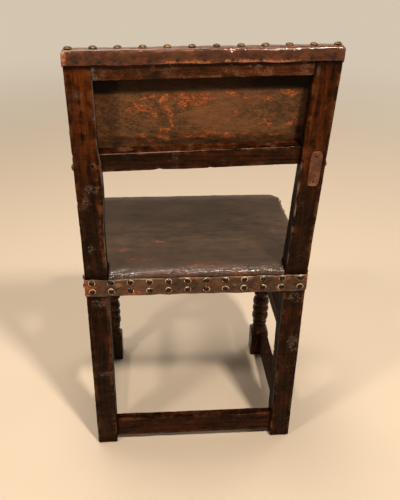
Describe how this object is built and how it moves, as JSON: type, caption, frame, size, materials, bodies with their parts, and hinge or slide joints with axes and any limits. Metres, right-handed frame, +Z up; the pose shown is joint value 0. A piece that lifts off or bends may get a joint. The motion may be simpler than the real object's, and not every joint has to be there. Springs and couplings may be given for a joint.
{
  "type": "oak backstool",
  "caption": "Joined oak side chair with a raked back, turned front legs, plain and turned stretchers, and a nailed leather seat and back panel.",
  "frame": {"origin": "middle of the chair's bounding box in plan, at floor level", "axes": "+Z up, +Y towards the back of the chair, +X towards the sitter's left"},
  "size_m": [0.4738, 0.4272, 0.985],
  "materials": {
    "oak": "old wax polish, dark brown, worn lighter on the edges",
    "oak_pegs": "waxed end grain",
    "hide": "old cowhide, semi-gloss, crackled and rubbed",
    "band_hide": "old cowhide strip, satin, with rubbed edges",
    "nail_brass": "tarnished, polished on the crowns",
    "iron": "dull hand-forged iron",
    "webbing": "coarse jute web",
    "sackcloth": "loose plain weave",
    "stuffing": "matted grass and hair",
    "plate_metal": "copper-brown, tarnished"
  },
  "bodies": {
    "root": {"rear_leg_left": "oak", "rear_leg_right": "oak", "front_leg_left": "oak", "front_leg_right": "oak", "crest_rail": "oak", "lower_back_rail": "oak", "rear_seat_rail": "oak", "front_seat_rail": "oak", "side_seat_rail_left": "oak", "side_seat_rail_right": "oak", "rear_stretcher": "oak", "front_stretcher": "oak", "low_side_stretcher_left": "oak", "low_side_stretcher_right": "oak", "high_side_stretcher_left": "oak", "high_side_stretcher_right": "oak", "back_frame_pegs": "oak_pegs", "rear_leg_pegs": "oak_pegs", "front_leg_pegs": "oak_pegs", "seat_leather": "hide", "back_leather": "hide", "rear_seat_band": "band_hide", "side_seat_band": "band_hide", "rear_band_nails": "nail_brass", "side_band_nails": "nail_brass", "front_band_nails": "nail_brass", "top_edge_nails": "nail_brass", "back_front_nails": "nail_brass", "stile_side_nails": "nail_brass", "fold_tacks": "iron", "webbing_tacks": "iron", "mending_plate_nails": "iron", "cross_webbing": "webbing", "long_webbing": "webbing", "sackcloth": "sackcloth", "seat_stuffing": "stuffing", "mending_plate": "plate_metal"}
  },
  "joints": []
}
